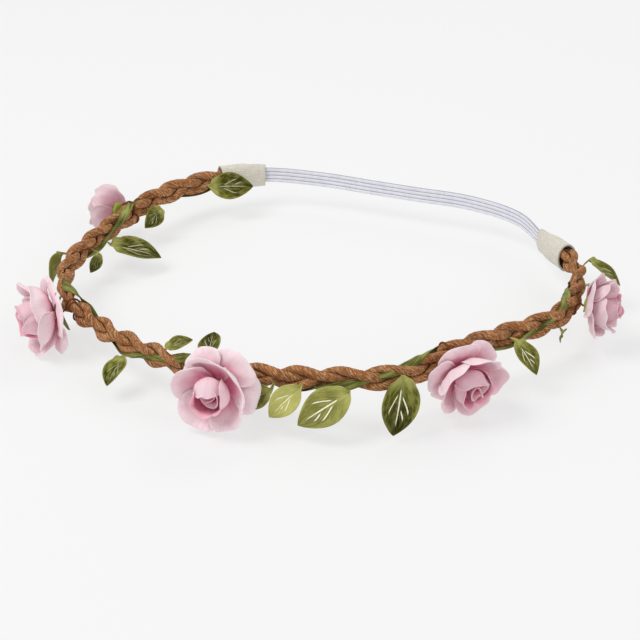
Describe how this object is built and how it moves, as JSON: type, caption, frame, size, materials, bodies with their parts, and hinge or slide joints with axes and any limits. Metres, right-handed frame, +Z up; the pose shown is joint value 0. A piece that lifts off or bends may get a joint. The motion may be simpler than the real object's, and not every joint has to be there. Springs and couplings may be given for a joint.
{
  "type": "flower crown",
  "caption": "Plaited cord headband with a wound leaf ribbon, satin leaves, wire-stemmed paper roses and a flat ribbed elastic that closes it at the back of the head.",
  "frame": {"origin": "centre of the head opening on the plane that the crown stands on", "axes": "+Z up out of the opening, +Y to the elastic at the back of the head, -Y to the forehead, +X to the viewer's right"},
  "size_m": [0.2122, 0.1858, 0.0279],
  "materials": {
    "plait_cord": "waxed cotton cord, orange-brown, fine twisted lay",
    "leaf_ribbon": "satin ribbon, light olive green",
    "satin_leaf": "stiffened satin, olive green with embossed pale veins",
    "elastic": "white ribbed woven elastic",
    "sleeve_tape": "cream ribbed woven tape",
    "glue": "hot-melt glue",
    "stem_wire": "paper-wrapped wire, brown",
    "calyx": "matt yellow-green",
    "rose_petal": "soft matt dyed paper, pale pink, deeper at the base",
    "rose_heart": "soft matt dyed paper, deeper pink"
  },
  "bodies": {
    "left_band": {"strand_a": "plait_cord", "strand_b": "plait_cord", "strand_c": "plait_cord", "leaf_ribbon": "leaf_ribbon", "elastic_band": "elastic", "sleeve_left": "sleeve_tape", "bond_plug_left": "glue", "rose_left_stem": "stem_wire", "rose_left_calyx": "calyx", "rose_left_outer_petals": "rose_petal", "rose_left_inner_petals": "rose_petal", "rose_left_bud": "rose_heart", "rose_back_left_stem": "stem_wire", "rose_back_left_calyx": "calyx", "rose_back_left_outer_petals": "rose_petal", "rose_back_left_inner_petals": "rose_petal", "rose_back_left_bud": "rose_heart", "leaf_04": "satin_leaf", "leaf_05": "satin_leaf", "leaf_06": "satin_leaf"},
    "right_band": {"sleeve_right": "sleeve_tape", "bond_plug_right": "glue", "rose_front_stem": "stem_wire", "rose_front_calyx": "calyx", "rose_front_outer_petals": "rose_petal", "rose_front_inner_petals": "rose_petal", "rose_front_bud": "rose_heart", "rose_front_right_stem": "stem_wire", "rose_front_right_calyx": "calyx", "rose_front_right_outer_petals": "rose_petal", "rose_front_right_inner_petals": "rose_petal", "rose_front_right_bud": "rose_heart", "rose_right_stem": "stem_wire", "rose_right_calyx": "calyx", "rose_right_outer_petals": "rose_petal", "rose_right_inner_petals": "rose_petal", "rose_right_bud": "rose_heart", "leaf_08": "satin_leaf", "leaf_09": "satin_leaf", "leaf_10": "satin_leaf", "leaf_15": "satin_leaf", "leaf_16": "satin_leaf"},
    "leaf_01": {"leaf_01": "satin_leaf"},
    "leaf_02": {"leaf_02": "satin_leaf"},
    "leaf_03": {"leaf_03": "satin_leaf"},
    "leaf_07": {"leaf_07": "satin_leaf"},
    "leaf_11": {"leaf_11": "satin_leaf"},
    "leaf_12": {"leaf_12": "satin_leaf"},
    "leaf_13": {"leaf_13": "satin_leaf"},
    "leaf_14": {"leaf_14": "satin_leaf"},
    "leaf_17": {"leaf_17": "satin_leaf"}
  },
  "joints": [
    {"name": "band_flex", "type": "hinge", "parent": "left_band", "child": "right_band", "pos_m": [-0.01946, -0.08428, 0.01408], "axis": [0, 0, -1], "range_deg": [-8, 16], "stiffness_Nm_per_rad": 0.01, "deforming": ["strand_a", "strand_b", "strand_c", "leaf_ribbon", "elastic_band"]},
    {"name": "leaf_01_flap", "type": "hinge", "parent": "left_band", "child": "leaf_01", "pos_m": [-0.07641, 0.04409, 0.0135], "axis": [-0.2934, 0.4586, 0.8388], "range_deg": [-30, 8], "stiffness_Nm_per_rad": 0.0001},
    {"name": "leaf_02_flap", "type": "hinge", "parent": "left_band", "child": "leaf_02", "pos_m": [-0.08373, 0.0181, 0.01319], "axis": [0.6344, 0.2534, -0.7303], "range_deg": [-30, 8], "stiffness_Nm_per_rad": 0.0001},
    {"name": "leaf_03_flap", "type": "hinge", "parent": "left_band", "child": "leaf_03", "pos_m": [-0.08173, -0.0155, 0.01043], "axis": [-0.4264, 0.8817, 0.2022], "range_deg": [-30, 8], "stiffness_Nm_per_rad": 0.0001},
    {"name": "leaf_07_flap", "type": "hinge", "parent": "left_band", "child": "leaf_07", "pos_m": [-0.02782, -0.08645, 0.01104], "axis": [0.9833, 0.0454, 0.176], "range_deg": [-30, 0], "stiffness_Nm_per_rad": 0.0001},
    {"name": "leaf_11_flap", "type": "hinge", "parent": "right_band", "child": "leaf_11", "pos_m": [0.03828, -0.08292, 0.01729], "axis": [0.8076, -0.1208, -0.5772], "range_deg": [-30, 8], "stiffness_Nm_per_rad": 0.0001},
    {"name": "leaf_12_flap", "type": "hinge", "parent": "right_band", "child": "leaf_12", "pos_m": [0.05327, -0.07894, 0.01625], "axis": [0.6955, -0.163, -0.6998], "range_deg": [-30, 8], "stiffness_Nm_per_rad": 0.0001},
    {"name": "leaf_13_flap", "type": "hinge", "parent": "right_band", "child": "leaf_13", "pos_m": [0.06758, -0.06971, 0.02135], "axis": [0.6958, 0.6928, -0.1897], "range_deg": [-30, 5], "stiffness_Nm_per_rad": 0.0001},
    {"name": "leaf_14_flap", "type": "hinge", "parent": "right_band", "child": "leaf_14", "pos_m": [0.08453, -0.02314, 0.0175], "axis": [0.3926, 0.9194, -0.0248], "range_deg": [-30, 5], "stiffness_Nm_per_rad": 0.0001},
    {"name": "leaf_17_flap", "type": "hinge", "parent": "right_band", "child": "leaf_17", "pos_m": [0.0837, 0.04299, 0.0173], "axis": [-0.142, 0.9848, -0.0998], "range_deg": [-30, 8], "stiffness_Nm_per_rad": 0.0001}
  ]
}
